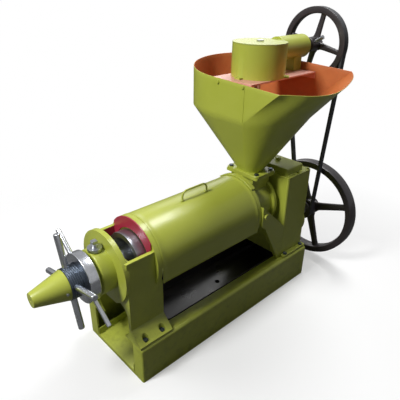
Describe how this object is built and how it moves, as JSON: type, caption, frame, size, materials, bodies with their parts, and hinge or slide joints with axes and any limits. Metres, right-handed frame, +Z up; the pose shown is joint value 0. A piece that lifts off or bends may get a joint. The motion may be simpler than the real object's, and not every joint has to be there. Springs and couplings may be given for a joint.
{
  "type": "screw oil press",
  "caption": "Screw press that crushes oil seed in a bar cage, with a fed hopper, a gearbox under one pulley and an adjustable cake outlet.",
  "frame": {"origin": "centre of the four foundation holes on the underside of the base", "axes": "+X along the press line from the cake outlet to the drive pulleys, +Y to the far side, +Z up"},
  "size_m": [1.6423, 0.7919, 1.355],
  "materials": {
    "green_paint": "satin",
    "red_paint": "satin",
    "black_paint": "satin",
    "dark_steel": "rough",
    "steel": "satin",
    "bright_steel": "polished",
    "cage_steel": "worn",
    "bronze": "satin",
    "tray_black": "satin",
    "belt_rubber": "matte",
    "bridge_paint": "satin"
  },
  "bodies": {
    "frame": {"base_frame": "green_paint", "oil_tray": "tray_black", "cake_chute": "green_paint", "discharge_housing": "green_paint", "guard_plate": "red_paint", "outlet_ring": "dark_steel", "grease_cup": "steel", "cage_bars": "cage_steel", "cage_rings": "cage_steel", "cage_ties": "steel", "feed_housing": "green_paint", "cover_strip": "green_paint", "gearbox_case": "green_paint", "gearbox_lid": "green_paint", "lid_bolts": "steel", "filler_plug": "steel", "gearbox_bearings": "steel", "input_cap": "green_paint", "output_cap": "green_paint", "cap_bolts": "steel", "foot_bolts": "dark_steel", "arm_bolts": "dark_steel", "feeder_belt": "belt_rubber", "hopper": "green_paint", "throat_bolts": "steel", "bridge_plate": "bridge_paint", "bridge_bolts": "steel", "feeder_housing": "green_paint", "feeder_lid": "green_paint", "feeder_tube": "green_paint", "feeder_bushes": "bronze"},
    "cover": {"cover": "green_paint", "cover_handle": "bright_steel"},
    "input_drive": {"input_shaft": "steel", "belt_pulley": "black_paint", "big_pulley": "black_paint", "pulley_key": "steel", "pulley_washer": "steel"},
    "layshaft_set": {"layshaft": "steel", "layshaft_gear": "steel"},
    "output_set": {"output_gear": "steel"},
    "thrust_carrier": {"thrust_race": "steel", "thrust_rollers": "bright_steel"},
    "sleeve_set": {"adjusting_sleeve": "dark_steel", "sleeve_bars": "bright_steel", "cone_cap": "green_paint", "cone_screw": "steel"},
    "lock_set": {"lock_ring": "bright_steel", "lock_bars": "bright_steel"},
    "screw_set": {"press_shaft": "steel", "screw_keys": "steel", "choke_cone": "steel", "press_worms": "cage_steel", "screw_race": "steel"},
    "feeder_drive": {"feeder_shaft": "steel", "feeder_pinion": "steel", "feeder_wheel": "black_paint", "hub_bolt": "steel"},
    "auger_set": {"feed_auger": "steel", "crown_gear": "steel"}
  },
  "joints": [
    {"name": "cover_lift", "type": "slide", "parent": "frame", "child": "cover", "axis": [0, 0, 1], "range_m": [0, 0.12]},
    {"name": "input_shaft_spin", "type": "hinge", "parent": "frame", "child": "input_drive", "pos_m": [0.65, -0.068, 0.302], "axis": [1, 0, 0], "continuous": true},
    {"name": "layshaft_spin", "type": "hinge", "parent": "frame", "child": "layshaft_set", "pos_m": [0.45, 0.04031, 0.33052], "axis": [1, 0, 0], "continuous": true},
    {"name": "output_spin", "type": "hinge", "parent": "frame", "child": "output_set", "pos_m": [0.45, 0, 0.475], "axis": [1, 0, 0], "continuous": true},
    {"name": "screw_slide", "type": "slide", "parent": "frame", "child": "thrust_carrier", "axis": [1, 0, 0], "range_m": [-0.006, 0.006]},
    {"name": "sleeve_turn", "type": "hinge", "parent": "thrust_carrier", "child": "sleeve_set", "pos_m": [-0.705, 0, 0.475], "axis": [1, 0, 0], "range_deg": [-260, 260]},
    {"name": "lock_ring_turn", "type": "hinge", "parent": "sleeve_set", "child": "lock_set", "pos_m": [-0.651, 0, 0.475], "axis": [1, 0, 0], "range_deg": [-30, 30]},
    {"name": "screw_spin", "type": "hinge", "parent": "thrust_carrier", "child": "screw_set", "pos_m": [-0.05, 0, 0.475], "axis": [1, 0, 0], "continuous": true},
    {"name": "feeder_shaft_spin", "type": "hinge", "parent": "frame", "child": "feeder_drive", "pos_m": [0.65, 0, 1.188], "axis": [1, 0, 0], "continuous": true},
    {"name": "auger_spin", "type": "hinge", "parent": "frame", "child": "auger_set", "pos_m": [0.274, 0, 0.9], "axis": [0, 0, 1], "continuous": true}
  ],
  "couplings": [
    {"joint": "layshaft_spin", "follows": "input_shaft_spin", "ratio": -0.4},
    {"joint": "output_spin", "follows": "input_shaft_spin", "ratio": 0.12174},
    {"joint": "screw_spin", "follows": "input_shaft_spin", "ratio": 0.12174},
    {"joint": "feeder_shaft_spin", "follows": "input_shaft_spin", "ratio": 0.28571},
    {"joint": "auger_spin", "follows": "input_shaft_spin", "ratio": 0.095238},
    {"joint": "screw_slide", "follows": "sleeve_turn", "m_per_rad": 0.0012732}
  ]
}
